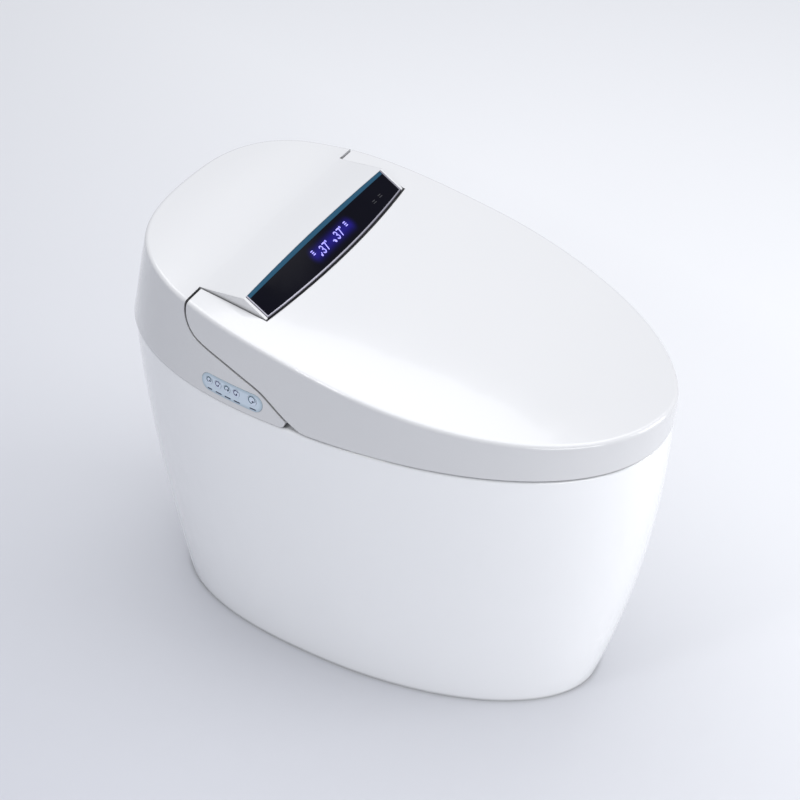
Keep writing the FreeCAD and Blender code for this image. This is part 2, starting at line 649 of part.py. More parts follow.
def make_display():
    """Black glass let into the sloping face, its bright frame, the strip behind it and the board below."""
    (y0, z0), (y1, z1) = display_line(0, 0)
    slope = math.hypot(y1 - y0, z1 - z0)
    edge = BEZEL_WIDTH / slope
    strip = STRIP_WIDTH / slope
    half = DISPLAY_HALF - BEZEL_WIDTH
    glass = display_slab(half - FIT, edge + 0.004, 1.0 - strip - 0.004, -GLASS_THICK, 0.0)
    hole = display_slab(half, edge, 1.2, -GLASS_THICK - 1.0, 20.0)
    frame = display_slab(DISPLAY_HALF, 0.0, 1.0 - 0.01, -GLASS_THICK, BEZEL_PROUD).cut(hole)
    keep("display_glass", glass)
    keep("display_bezel", frame)
    keep("display_strip", display_slab(half - FIT, 1.0 - strip, 0.99, -GLASS_THICK, 0.0))
    under = -GLASS_THICK - FIT
    keep("display_board", display_slab(BOARD_HALF, 0.25, 0.8, under - BOARD_THICK, under))


def make_control_panel():
    """Printed panel let into the -X wing, its five push buttons, and the board that they press on."""
    reach = -RIM.half_width - 10
    rear_end_y = PANEL_Y + PANEL_RUN / 2 + PANEL_R
    board_x = -wall_half_width(rear_end_y, PANEL_Z) + BOARD_BEHIND
    stem_end = board_x - STEM_TO_BOARD
    outer = PANEL_R + BOARD_MARGIN
    proud = wall_stack(-PANEL_PROUD, RIM_HEIGHT, 470.0)
    behind_wall = wall_stack(COVER_WALL, RIM_HEIGHT - 1, 471.0)
    film = panel_prism(PANEL_R, reach, -150.0).common(proud).cut(behind_wall)
    button_skin = wall_stack(-BUTTON_PROUD, RIM_HEIGHT, 470.0)
    domes = []
    for name, radius, y, z in button_centres():
        film = film.cut(rod((reach, y, z), (1, 0, 0), radius + FIT, 80.0))
        keep(name, rod((reach, y, z), (1, 0, 0), radius, stem_end - reach).common(button_skin))
        domes.append(rod((board_x - DOME_HEIGHT, y, z), (1, 0, 0), DOME_R, DOME_HEIGHT + OVERLAP))
    keep("control_panel", film)
    keep("button_board", fused([panel_prism(outer, board_x, board_x + BOARD_THICK), *domes]))
    holder = panel_prism(outer, reach, board_x).cut(panel_prism(outer - HOLDER_WALL, reach - 1, board_x + 1))
    keep("button_board_holder", holder.common(wall_stack(COVER_WALL + HOLDER_CLEAR, RIM_HEIGHT - 1, 471.0)))


# ---------------------------------------------------------------- lid
def lid_body(d):
    """The lid drawn in by d on every side: d of 0 is its outside and LID_WALL its inside."""
    low = RIM_HEIGHT - 30.0
    shell = covers_body(lid_height, LID_STATIONS, d)
    if d == 0:
        region = lid_side_region(0.0, RIM_HEIGHT + LID_GAP)
    else:
        region = box(-240, 240, NOSE_Y - 20, HINGE_Y, low - 5, 600)
        region = region.fuse(rod((-240, HINGE_Y, HINGE_Z), (1, 0, 0), EAR_R - d, 480))
        region = region.fuse(box(-240, 240, HINGE_Y - 1, HINGE_Y + EAR_R + d, low - 5, HINGE_Z - EAR_R * 0.2))
    notch = tongue_plan(TONGUE_HALF + TONGUE_GAP + d, -LID_GAP - d, TAIL_Y, 300.0, 650.0)
    return shell.common(region).cut(notch)


def make_lid():
    shell = lid_body(0.0).cut(lid_body(LID_WALL))
    reach = RIM.half_width - 30.0
    pin_hole = rod((-reach, HINGE_Y, HINGE_Z), (1, 0, 0), PIN_R + PIN_CLEAR, 2 * reach)
    keep("lid_shell", shell.cut(pin_hole))
    seat_top = SEAT_BOTTOM + SEAT_THICK
    under_lid = under_top(lid_height, LID_STATIONS, LID_WALL + 0.05)
    pads = [rod((side * x, y, seat_top + BUMPER_AIR), (0, 0, 1), BUMPER_R, 60.0).common(under_lid)
            for x, y in LID_BUMPERS for side in (-1, 1)]
    keep("lid_bumpers", *pads)


# ---------------------------------------------------------------- seat
def arm_points():
    """Side view of one seat arm, which climbs from the ring to the hinge inside the lid's ear."""
    under = [(14.0, SEAT_BOTTOM + SEAT_BASE_THICK + 0.2), (38.0, 426.0), (58.0, 438.5), (75.0, 449.0),
             (115.0, 462.5), (138.0, 474.0)]
    over = [(132.0, 491.0), (90.0, 474.0), (55.0, 455.0), (30.0, 434.5), (-20.0, 431.5),
            (-20.0, SEAT_BOTTOM + SEAT_BASE_THICK + 0.2)]
    return [*under, (HINGE_Y + 1.0, HINGE_Z - KNUCKLE_R), (HINGE_Y - 2, HINGE_Z + KNUCKLE_R - 0.5), *over]


def seat_ring(outside, inside):
    """A solid between two stacks of (height, how far the outline is drawn in) pairs."""
    ring_outside = outline_stack([(z, SEAT.inset(d)) for z, d in outside])
    return ring_outside.cut(outline_stack([(z, SEAT_HOLE.inset(-d)) for z, d in inside]))


def make_seat():
    """Hollow top shell with two arms, the plate that closes it, its foil and the bumpers under it."""
    base_top, top = SEAT_BOTTOM + SEAT_BASE_THICK, SEAT_BOTTOM + SEAT_THICK
    shoulder, inner_top = top - SEAT_EDGE_DROP, top - SEAT_WALL
    shell = seat_ring([(base_top + 0.1, 0.0), (base_top + 8.0, 0.8), (shoulder, 4.5), (top, SEAT_SHOULDER)],
                      [(base_top - 2.0, 0.0), (base_top + 6.0, 0.8), (shoulder, 4.0),
                       (top + 0.5, SEAT_HOLE_SHOULDER)])
    pocket = seat_ring([(base_top - 1.0, SEAT_WALL), (inner_top - 3.0, SEAT_WALL + 4.0),
                        (inner_top, SEAT_WALL + 10.0)],
                       [(base_top - 2.0, SEAT_WALL), (inner_top - 3.0, SEAT_WALL + 4.0),
                        (top, SEAT_WALL + 10.0)])
    arm = side_prism(arm_points(), ARM_INNER_X, ARM_INNER_X + ARM_WIDTH)
    arm = arm.fuse(rod((ARM_INNER_X, HINGE_Y, HINGE_Z), (1, 0, 0), KNUCKLE_R, ARM_WIDTH))
    arm = arm.cut(rod((ARM_INNER_X - 5, HINGE_Y, HINGE_Z), (1, 0, 0), PIN_R + PIN_CLEAR, ARM_WIDTH + 10))
    keep("seat_shell", fused([shell.cut(pocket), arm, mirrored(arm)]))
    keep("seat_base", seat_ring([(SEAT_BOTTOM, 1.5), (base_top, 0.5)],
                                [(SEAT_BOTTOM - 1.0, 0.5), (base_top + 1.0, 0.5)]))
    foil_top = inner_top - 0.1
    keep("seat_heating_foil", seat_ring([(foil_top - FOIL_THICK, FOIL_MARGIN), (foil_top, FOIL_MARGIN)],
                                        [(foil_top - 5.0, FOIL_MARGIN_INSIDE),
                                         (foil_top + 5.0, FOIL_MARGIN_INSIDE)]))
    foot = SEAT_BOTTOM - RIM_HEIGHT - BUMPER_AIR
    keep("seat_bumpers", *[rod((side * x, y, RIM_HEIGHT + BUMPER_AIR), (0, 0, 1), BUMPER_R, foot)
                           for x, y in SEAT_BUMPERS for side in (-1, 1)])


def make_hinge():
    """Two pins on the hinge line, each held by a soft-close damper on a post of the chassis."""
    inner_x, outer_x = PIN_INNER_X, ARM_INNER_X + ARM_WIDTH + PIN_PAST_ARM
    start_x = inner_x - DAMPER_LENGTH
    front, back = HINGE_Y - DAMPER_FOOT, HINGE_Y + DAMPER_FOOT
    foot_z, end_x = HINGE_Z - DAMPER_FOOT, inner_x - 6.0
    pin = rod((inner_x, HINGE_Y, HINGE_Z), (1, 0, 0), PIN_R, outer_x - inner_x)
    keep("hinge_pins", pin, mirrored(pin))
    barrel = fused([rod((start_x, HINGE_Y, HINGE_Z), (1, 0, 0), DAMPER_R, DAMPER_LENGTH),
                    box(start_x, end_x, front, back, foot_z, HINGE_Z - 4.0)])
    keep("lid_damper", barrel)
    keep("seat_damper", mirrored(barrel))
    flange_y = front - 10.0, back - 2.0
    post = fused([box(start_x, end_x, front, back, CHASSIS_TOP, foot_z),
                  box(start_x - POST_FLANGE, inner_x + POST_FLANGE, *flange_y, CHASSIS_TOP,
                      CHASSIS_TOP + POST_FLANGE)])
    keep("hinge_posts", post, mirrored(post))


# ---------------------------------------------------------------- chassis and what stands on it
def make_chassis():
    """The plate that carries the works, and the two bolts that hold it to the deck."""
    outline = RIM.inset(COVER_WALL + CHASSIS_CLEAR)
    plate = outline_stack([(RIM_HEIGHT, outline), (CHASSIS_TOP, outline)])
    plate = plate.common(box(-220, 220, COVER_FRONT_Y + 6.0, TAIL_Y, RIM_HEIGHT - 1, CHASSIS_TOP + 1))
    bolts, nuts = [], []
    under_deck = RIM_HEIGHT - DECK_THICK
    y, up = CHASSIS_BOLT_Y, (0, 0, 1)
    for x in (-CHASSIS_BOLT_X, CHASSIS_BOLT_X):
        plate = plate.cut(rod((x, y, RIM_HEIGHT - 1), up, BOLT_R + FIT, CHASSIS_THICK + 2))
        shank = rod((x, y, RIM_HEIGHT - BOLT_BELOW), up, BOLT_R, BOLT_BELOW + CHASSIS_THICK)
        bolts.append(fused([shank, rod((x, y, CHASSIS_TOP), up, BOLT_HEAD_R, BOLT_HEAD)]))
        nuts.append(ring(NUT_R, BOLT_R + FIT, x, CHASSIS_BOLT_Y, under_deck - NUT_HEIGHT, under_deck))
    keep("chassis_plate", plate)
    keep("chassis_bolts", *bolts)
    keep("chassis_wing_nuts", *nuts)


def tilted(shape):
    """Turns a shape drawn along -Y from the stored wand tips to the wands' slope."""
    turned = shape.copy()
    turned.rotate(Vector(0, WAND_TIP[0], WAND_TIP[1]), Vector(1, 0, 0), WAND_TILT)
    return turned


def make_wands():
    """Two wands side by side in their guide, with a motor above each, drawn level and then tilted."""
    tip_y, tip_z = WAND_TIP
    half_height = WAND_R + GUIDE_WALL
    guide = box(-GUIDE_HALF, GUIDE_HALF, tip_y + GUIDE_FRONT, tip_y + GUIDE_BACK, tip_z - half_height,
                tip_z + half_height)
    carriage_z = tip_z - half_height - CARRIAGE_THICK
    guide = fused([guide, box(-GUIDE_HALF, GUIDE_HALF, tip_y + CARRIAGE_FRONT, tip_y + WAND_LENGTH + 6.0,
                              carriage_z, tip_z - half_height)])
    motors = []
    for name, side in (("rear_wash_wand", -1), ("front_wash_wand", 1)):
        x = side * WAND_PITCH / 2
        wand = fused([rod((x, tip_y + 5.0, tip_z), (0, 1, 0), WAND_R, WAND_LENGTH - 5.0),
                      Part.makeSphere(WAND_R, Vector(x, tip_y + WAND_R, tip_z))])
        for i in range(SPRAY_COUNT):
            spray_y = tip_y + 8.0 + SPRAY_PITCH * i
            wand = wand.cut(rod((x, spray_y, tip_z + 3.0), (0, 0, 1), SPRAY_R, WAND_R))
        keep(name, tilted(wand))
        guide = guide.cut(rod((x, tip_y, tip_z), (0, 1, 0), WAND_R + WAND_CLEAR, WAND_LENGTH + 30.0))
        motor_place = (x + 2.0 * side, tip_y + MOTOR_BACK, tip_z + half_height)
        motors.append(tilted(rod(motor_place, (0, 0, 1), MOTOR_R, MOTOR_HEIGHT)))
    foot = box(-GUIDE_HALF, GUIDE_HALF, *GUIDE_FOOT_Y, CHASSIS_TOP, CHASSIS_TOP + 22.0)
    above = tilted(box(-60.0, 60.0, tip_y - 20.0, tip_y + 200.0, carriage_z + 3.0, tip_z + 60.0))
    keep("wand_guide", fused([tilted(guide), foot.cut(above)]))
    keep("wand_motors", *motors)


def make_dryer():
    """Warm-air duct with a flap at its mouth, fed by a fan wheel in a round housing."""
    half, w, end = FLAP_WIDTH / 2, DUCT_WALL, DUCT_END_Y
    low, back, bend = FLAP_TOP - FLAP_HEIGHT, NOTCH_BACK_Y - 1.5, COVER_FRONT_Y + 4.0
    front = DUCT_FRONT_Y
    outer = side_prism([(front, low - w), (front, FLAP_TOP + w), (bend, DUCT_TOP), (end, DUCT_TOP),
                        (end, CHASSIS_TOP), (bend, CHASSIS_TOP), (back, RIM_HEIGHT + 1), (back, low + 4)],
                       FLAP_X - half - w, FLAP_X + half + w)
    inner = side_prism([(front - 1, low), (front - 1, FLAP_TOP), (bend + 1, DUCT_TOP - w),
                        (end + 1, DUCT_TOP - w), (end + 1, CHASSIS_TOP + w), (bend, CHASSIS_TOP + w),
                        (back - w, RIM_HEIGHT + 3),
                        (back - w, low + 6)], FLAP_X - half, FLAP_X + half)
    keep("dryer_duct", outer.cut(inner))

    pin_y, flap_half = front - FLAP_STEP, half - FLAP_SIDE
    face_y = pin_y - FLAP_THICK / 2
    plate = box(FLAP_X - flap_half, FLAP_X + flap_half, face_y, face_y + FLAP_THICK, low, FLAP_TOP - 1.5)
    barrel = rod((FLAP_X - flap_half, pin_y, FLAP_TOP), (1, 0, 0), FLAP_BARREL_R, 2 * flap_half)
    bore = rod((FLAP_X - half - 5, pin_y, FLAP_TOP), (1, 0, 0), FLAP_PIN_R + PIN_CLEAR, FLAP_WIDTH + 10)
    keep("dryer_flap", fused([plate, barrel.cut(bore)]))
    ears = [box(x, x + EAR_THICK, pin_y - EAR_HALF, front, FLAP_TOP - EAR_HALF, FLAP_TOP + EAR_HALF)
            for x in (FLAP_X - half - EAR_THICK - FLAP_SIDE, FLAP_X + half + FLAP_SIDE)]
    pin = rod((FLAP_X - half - 2, pin_y, FLAP_TOP), (1, 0, 0), FLAP_PIN_R, FLAP_WIDTH + 4)
    keep("dryer_flap_pin", pin.fuse(ears).removeSplitter())

    housing_r = FAN_R + HOUSING_ROOM + HOUSING_WALL
    fan_y, floor_z = DUCT_END_Y + housing_r, CHASSIS_TOP + HOUSING_FLOOR
    up = (0, 0, 1)
    housing = rod((FLAP_X, fan_y, CHASSIS_TOP), up, housing_r, HOUSING_HEIGHT)
    housing = housing.cut(rod((FLAP_X, fan_y, floor_z), up, housing_r - HOUSING_WALL, HOUSING_HEIGHT))
    mouth = box(FLAP_X - half, FLAP_X + half, end - 6, fan_y - BLADE_ROOT_R, floor_z, CHASSIS_TOP + HUB_TOP)
    housing = fused([housing.cut(mouth), rod((FLAP_X, fan_y, CHASSIS_TOP), up, AXLE_R, AXLE_TOP)])
    keep("dryer_fan_housing", housing.cut(box(FLAP_X - 60, FLAP_X + 60, end - 40, end + FIT, 300, 600)))

    wheel_z = CHASSIS_TOP + FAN_FLOAT
    wheel = ring(FAN_R, AXLE_R + PIN_CLEAR, FLAP_X, fan_y, wheel_z, wheel_z + WHEEL_THICK)
    hub = ring(HUB_R, AXLE_R + PIN_CLEAR, FLAP_X, fan_y, wheel_z, CHASSIS_TOP + HUB_TOP)
    blades = []
    for i in range(FAN_BLADES):
        blade = box(FLAP_X + BLADE_ROOT_R, FLAP_X + FAN_R, fan_y - BLADE_THICK / 2, fan_y + BLADE_THICK / 2,
                    wheel_z + WHEEL_THICK, CHASSIS_TOP + BLADE_TOP)
        blade.rotate(Vector(FLAP_X, fan_y, 0), Vector(0, 0, 1), 360.0 * i / FAN_BLADES)
        blades.append(blade)
    keep("dryer_fan", fused([wheel, hub, *blades]))


def stepped(place, steps):
    """Upright discs on the chassis plate, each (radius, height) step on the one before."""
    z, parts = CHASSIS_TOP, []
    for radius, height in steps:
        parts.append(rod((*place, z), (0, 0, 1), radius, height))
        z += height
    return parts


def make_water_parts():
    """Water heater, wash pump, inlet valve, cord gland and flush valve."""
    base, back, rearward = CHASSIS_TOP, VALVE_BACK_Y, (0, 1, 0)
    heater = box(*HEATER_X, *HEATER_Y, base, base + HEATER_HEIGHT)
    heater = heater.makeFillet(HEATER_ROUND, [e for e in heater.Edges
                                              if abs(e.tangentAt(e.FirstParameter).z) > 0.9])
    port_y, port_z = HEATER_Y[0] - 8.0, base + 40.0
    keep("water_heater", fused([heater, *[rod((x, port_y, port_z), rearward, PORT_R, PORT_LENGTH)
                                          for x in HEATER_PORTS]]))
    keep("wash_pump", fused(stepped(PUMP, PUMP_STEPS)))
    nipple = rod((INLET_X, back, INLET_Z), rearward, INLET_R, TAIL_Y - NIPPLE_SHORT - back)
    collar = rod((INLET_X, back, INLET_Z), rearward, INLET_R + COLLAR_WALL, COLLAR_LENGTH)
    bore = rod((INLET_X, back - 10, INLET_Z), rearward, INLET_BORE_R, 60.0)
    keep("inlet_nipple", fused([nipple, collar]).cut(bore))
    top = INLET_Z + VALVE_ABOVE
    front = back - VALVE_LENGTH
    keep("inlet_valve_block", box(INLET_X - VALVE_HALF, INLET_X + VALVE_HALF, front, back, base, top))
    keep("inlet_valve_coil", rod((INLET_X, back - VALVE_LENGTH / 2, top), (0, 0, 1), COIL_R, COIL_HEIGHT))
    gland = fused([rod((GLAND_X, back, INLET_Z), rearward, GLAND_R + GLAND_WALL, TAIL_Y - GLAND_SHORT - back),
                   rod((GLAND_X, back, INLET_Z), rearward, GLAND_R + GLAND_FLANGE, GLAND_FLANGE)])
    gland = gland.cut(rod((GLAND_X, back - 1, INLET_Z), rearward, GLAND_R, 60.0))
    stand = box(GLAND_X - GLAND_STAND_HALF, GLAND_X + GLAND_STAND_HALF, back, back + GLAND_FLANGE, base,
                INLET_Z - GLAND_R - 6.0)
    keep("power_cord_gland", fused([gland, stand]))
    x, y = FLUSH_VALVE
    valve_port = rod((x, y - 17.0, base + 12.0), rearward, PORT_R, PORT_LENGTH)
    keep("flush_valve", fused([*stepped(FLUSH_VALVE, FLUSH_STEPS), valve_port]))


def make_electrics():
    """Power supply, control board with its chips, and the deodoriser, on the chassis plate."""
    base = CHASSIS_TOP
    keep("power_supply", box(*SUPPLY_X, *SUPPLY_Y, base, base + SUPPLY_HEIGHT))
    front, back = CONTROL_Y, CONTROL_Y + CONTROL_THICK
    out, foot = CONTROL_FOOT
    pieces = [box(*CONTROL_X, front, back, base, base + CONTROL_HEIGHT),
              box(*CONTROL_X, front - out, back + 2 * out, base, base + foot)]
    for i in range(3):
        x = CONTROL_X[0] + 10.0 + CHIP_PITCH * i
        pieces.append(box(x, x + CHIP_WIDTH, back, back + 2.0 * (i + 1), base + CHIP_Z[0], base + CHIP_Z[1]))
    keep("control_board", fused(pieces))
    cap_r, cap_height = DEODORISER_CAP
    middle = (sum(DEODORISER_X) / 2, sum(DEODORISER_Y) / 2, base + DEODORISER_HEIGHT)
    keep("deodoriser", fused([box(*DEODORISER_X, *DEODORISER_Y, base, base + DEODORISER_HEIGHT),
                              rod(middle, (0, 0, 1), cap_r, cap_height)]))


def main():
    make_pan()
    make_floor_fixings()
    make_rear_cover()
    make_display()
    make_control_panel()
    make_lid()
    make_seat()
    make_hinge()
    make_chassis()
    make_wands()
    make_dryer()
    make_water_parts()
    make_electrics()
    os.makedirs("parts", exist_ok=True)
    for name, shape in NODES.items():
        shape.exportStep(f"parts/{name}.step")
        print(f"{name:22s} solids {len(shape.Solids):2d} valid {shape.isValid()} volume {shape.Volume:12.0f}")


main()
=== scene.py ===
import math

import bmesh
import bpy
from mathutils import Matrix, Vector
from mathutils.bvhtree import BVHTree


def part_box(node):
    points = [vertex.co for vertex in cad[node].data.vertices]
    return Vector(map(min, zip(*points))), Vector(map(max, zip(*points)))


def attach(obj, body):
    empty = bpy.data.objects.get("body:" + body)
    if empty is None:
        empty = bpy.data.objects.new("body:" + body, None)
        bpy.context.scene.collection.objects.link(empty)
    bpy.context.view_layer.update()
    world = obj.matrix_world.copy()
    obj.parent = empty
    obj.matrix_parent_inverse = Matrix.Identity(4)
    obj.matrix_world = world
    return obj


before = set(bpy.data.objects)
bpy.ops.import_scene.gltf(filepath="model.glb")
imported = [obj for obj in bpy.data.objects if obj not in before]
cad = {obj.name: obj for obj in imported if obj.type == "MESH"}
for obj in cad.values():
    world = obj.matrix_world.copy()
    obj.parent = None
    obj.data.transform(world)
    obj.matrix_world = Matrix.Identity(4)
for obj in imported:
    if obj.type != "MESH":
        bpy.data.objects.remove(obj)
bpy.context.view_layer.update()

# ---------------------------------------------------------------- the ceramic pan
# One piece of vitreous china, slip cast and glazed white all over. The thick glaze
# is bright and a little cool, and its face is never quite flat.

EDGE_SAMPLES = 6
GAP_SHARES = (0.25, 0.75)       # how open a place lies where its painted gap shade is darkest and where it has none


def ripple_group():
    """A polished face's softened edges, slow waves and fine skin, and how open each place lies, which sets
    the shade painted into gaps and creases.
    """
    group = bpy.data.node_groups.new("ripple_and_gap_shade", "ShaderNodeTree")
    face = group.interface
    for name in ("Wave Size", "Wave Depth", "Skin Size", "Skin Depth", "Edge Radius", "Gap Reach"):
        face.new_socket(name, in_out="INPUT", socket_type="NodeSocketFloat")
    face.new_socket("Normal", in_out="OUTPUT", socket_type="NodeSocketVector")
    face.new_socket("Mask", in_out="OUTPUT", socket_type="NodeSocketFloat")
    face.new_socket("Open", in_out="OUTPUT", socket_type="NodeSocketFloat")
    add, link = group.nodes.new, group.links.new
    given, out = add("NodeGroupInput"), add("NodeGroupOutput")
    gaps, open_share = add("ShaderNodeAmbientOcclusion"), add("ShaderNodeMapRange")
    gaps.samples = EDGE_SAMPLES
    link(given.outputs["Gap Reach"], gaps.inputs["Distance"])
    link(gaps.outputs["AO"], open_share.inputs["Value"])
    open_share.inputs["From Min"].default_value, open_share.inputs["From Max"].default_value = GAP_SHARES
    link(open_share.outputs["Result"], out.inputs["Open"])
    place = add("ShaderNodeTexCoord")
    waves, skin = add("ShaderNodeTexNoise"), add("ShaderNodeTexNoise")
    low, high = add("ShaderNodeBump"), add("ShaderNodeBump")
    edge = add("ShaderNodeBevel")
    edge.samples = EDGE_SAMPLES
    link(given.outputs["Edge Radius"], edge.inputs["Radius"])
    link(edge.outputs["Normal"], low.inputs["Normal"])
    for noise, size in ((waves, "Wave Size"), (skin, "Skin Size")):
        link(place.outputs["Object"], noise.inputs["Vector"])
        link(given.outputs[size], noise.inputs["Scale"])
    waves.inputs["Detail"].default_value = 1.0
    link(waves.outputs["Fac"], low.inputs["Height"])
    link(skin.outputs["Fac"], high.inputs["Height"])
    link(given.outputs["Wave Depth"], low.inputs["Distance"])
    link(given.outputs["Skin Depth"], high.inputs["Distance"])
    link(low.outputs["Normal"], high.inputs["Normal"])
    link(high.outputs["Normal"], out.inputs["Normal"])
    link(waves.outputs["Fac"], out.inputs["Mask"])
    return group


ripple_and_gap_shade = ripple_group()
GAP_REACH = 0.008
PAINTED_GAP_SHADE = 0.35                 # painted shade: the share of its colour that a face keeps deep in a gap


def finished(name, colour, second, roughness, rough_step=0.04, wave=(30.0, 0.00002),
             skin=(600.0, 0.000001), edge=0.0004, **sockets):
    """A material whose colour and gloss drift a little between colour and second, with shade painted into its
    colour in gaps and creases.

    wave and skin are each a noise scale and a depth in metres, edge is the softened
    edges' radius, and any other value goes to the shader's socket of that name.
    """
    material = bpy.data.materials.new(name)
    material.use_nodes = True
    nodes, link = material.node_tree.nodes, material.node_tree.links.new
    shader = nodes["Principled BSDF"]
    ripple = nodes.new("ShaderNodeGroup")
    ripple.node_tree = ripple_and_gap_shade
    values = {"Wave Size": wave[0], "Wave Depth": wave[1], "Skin Size": skin[0], "Skin Depth": skin[1],
              "Edge Radius": edge, "Gap Reach": GAP_REACH}
    for socket, value in values.items():
        ripple.inputs[socket].default_value = value
    mix = nodes.new("ShaderNodeMix")
    mix.data_type = "RGBA"
    mix.inputs["A"].default_value = (*colour, 1.0)
    mix.inputs["B"].default_value = (*second, 1.0)
    rough = nodes.new("ShaderNodeMapRange")
    rough.inputs["To Min"].default_value = max(0.0, roughness - rough_step / 2)
    rough.inputs["To Max"].default_value = roughness + rough_step / 2
    link(ripple.outputs["Mask"], mix.inputs["Factor"])
    link(ripple.outputs["Mask"], rough.inputs["Value"])
    # painted shade: the colour darkens in gaps and creases, where the place lies closed in
    shade = nodes.new("ShaderNodeMix")
    shade.data_type = "RGBA"
    shade.inputs["A"].default_value = (*(PAINTED_GAP_SHADE * c for c in colour), 1.0)
    link(mix.outputs["Result"], shade.inputs["B"])
    link(ripple.outputs["Open"], shade.inputs["Factor"])
    link(shade.outputs["Result"], shader.inputs["Base Color"])
    link(rough.outputs["Result"], shader.inputs["Roughness"])
    link(ripple.outputs["Normal"], shader.inputs["Normal"])
    for socket, value in sockets.items():
        shader.inputs[socket.replace("_", " ")].default_value = value
    return material


def dress(material, *names):
    """Gives CAD nodes their finish."""
    for name in names:
        mesh = cad[name].data
        mesh.materials.clear()
        mesh.materials.append(material)


glaze = finished("white_glaze", (0.90, 0.905, 0.915), (0.91, 0.915, 0.925), 0.10, 0.03, edge=0.0010,
                 wave=(9.0, 0.0004), Coat_Weight=0.6, Coat_Roughness=0.04, IOR=1.52)
dress(glaze, "ceramic_pan")

# ---------------------------------------------------------------- floor fixings
# A soft rubber connector takes the pan's outlet at the floor, and two folded steel
# brackets inside the skirt hold it down.

grey_rubber = finished("grey_rubber", (0.20, 0.20, 0.205), (0.24, 0.24, 0.24), 0.65, skin=(2500.0, 0.00002))
steel = finished("stainless_steel", (0.60, 0.61, 0.62), (0.66, 0.66, 0.66), 0.30, 0.12, Metallic=1.0)
dress(grey_rubber, "waste_connector")
dress(steel, "floor_brackets")

# ---------------------------------------------------------------- the chassis and the hinge
# A moulded plate, bolted through the pan's deck with wing nuts from below, carries
# the works. Two posts on it hold the soft-close barrels, and those the hinge pins.

natural_plastic = finished("natural_white_plastic", (0.68, 0.68, 0.65), (0.74, 0.74, 0.71), 0.45,
                           skin=(3000.0, 0.00001))
black_plastic = finished("black_plastic", (0.02, 0.02, 0.022), (0.035, 0.035, 0.037), 0.45,
                         skin=(3000.0, 0.00002))
dress(natural_plastic, "chassis_plate", "chassis_wing_nuts", "hinge_posts")
dress(steel, "chassis_bolts", "hinge_pins")
dress(black_plastic, "lid_damper", "seat_damper")

# ---------------------------------------------------------------- the wash wands
# Two white moulded wands lie side by side in their guide and slide out under the seat,
# each driven by a plated motor above it.

seat_white = finished("seat_white_moulding", (0.82, 0.825, 0.83), (0.84, 0.84, 0.845), 0.20,
                      Coat_Weight=0.3)
motor_can = finished("plated_motor_can", (0.45, 0.46, 0.48), (0.55, 0.55, 0.57), 0.32, 0.1, Metallic=1.0)
dress(natural_plastic, "wand_guide")
dress(motor_can, "wand_motors")
dress(seat_white, "rear_wash_wand", "front_wash_wand")

# ---------------------------------------------------------------- the water works
# Tap water comes in through a turned brass nipple and a moulded valve block with a
# plated coil. A heater and a pump feed the wands, and a black valve flushes the bowl.

brass = finished("machined_brass", (0.58, 0.42, 0.16), (0.66, 0.50, 0.22), 0.28, 0.1, Metallic=1.0)
dress(brass, "inlet_nipple")
dress(natural_plastic, "inlet_valve_block", "water_heater")
dress(motor_can, "inlet_valve_coil")
dress(black_plastic, "wash_pump", "flush_valve")

# ---------------------------------------------------------------- the dryer and the deodoriser
# A black fan in a round housing feeds a moulded duct, whose mouth is shut by a flap on a
# steel pin. The deodoriser is a small upright box on the chassis plate.

dress(natural_plastic, "dryer_duct", "dryer_flap", "deodoriser")
dress(black_plastic, "dryer_fan_housing", "dryer_fan")
dress(steel, "dryer_flap_pin")

# ---------------------------------------------------------------- the electrics
# Green glass-fibre boards run the display, the buttons and the works. Their supply is
# a black box on the chassis plate, and a black gland goes through the rear wall.

green_board = finished("green_circuit_board", (0.012, 0.12, 0.05), (0.02, 0.16, 0.07), 0.4,
                       skin=(1500.0, 0.00005))
dress(green_board, "control_board", "display_board", "button_board")
dress(natural_plastic, "button_board_holder")
dress(black_plastic, "power_supply", "power_cord_gland")

# ---------------------------------------------------------------- the rear cover
# A high-gloss white moulding that hides the works. Its raised tongue holds the
# display and its -X wing the push buttons.

gloss_white = finished("gloss_white_moulding", (0.66, 0.662, 0.675), (0.67, 0.672, 0.685), 0.14, 0.04,
                       wave=(8.0, 0.0003), edge=0.0012, Coat_Weight=0.5, Coat_Roughness=0.05)
dress(gloss_white, "rear_cover")

# ---------------------------------------------------------------- the display
# Black acrylic let into the tongue's slope, in a thin plated frame with a painted reflection on it,
# and a teal strip behind it. Blue-violet figures shine through it from the board below.

DISPLAY_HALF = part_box("display_bezel")[1][0]
DISPLAY_END_Y = 0.092           # metres: the front edge's two ends, and how far its middle bows forward
DISPLAY_BOW = 0.010
FRAME_REFLECTION_START = (0.0005, 0.0009)     # painted reflection: inward from the frame's edge, from dark to bright
FRAME_REFLECTION_END = (0.0023, 0.0017)       # and back, from bright to dark
FIGURE_LINE = (-0.030, 0.040, 0.1005)   # the lit figures: first x, last x, y
HAZE_REACH = 0.015


def tinted(material, group, colour, socket="Base Color"):
    """Blends colour into one socket of a material where a mask group says so."""
    nodes, link = material.node_tree.nodes, material.node_tree.links.new
    shader = nodes["Principled BSDF"]
    mask = nodes.new("ShaderNodeGroup")
    mask.node_tree = group
    mix = nodes.new("ShaderNodeMix")
    mix.data_type = "RGBA"
    if shader.inputs[socket].is_linked:
        link(shader.inputs[socket].links[0].from_socket, mix.inputs["A"])
    else:
        mix.inputs["A"].default_value = (0.0, 0.0, 0.0, 1.0)
    mix.inputs["B"].default_value = (*colour, 1.0)
    link(mask.outputs["Mask"], mix.inputs["Factor"])
    link(mix.outputs["Result"], shader.inputs[socket])


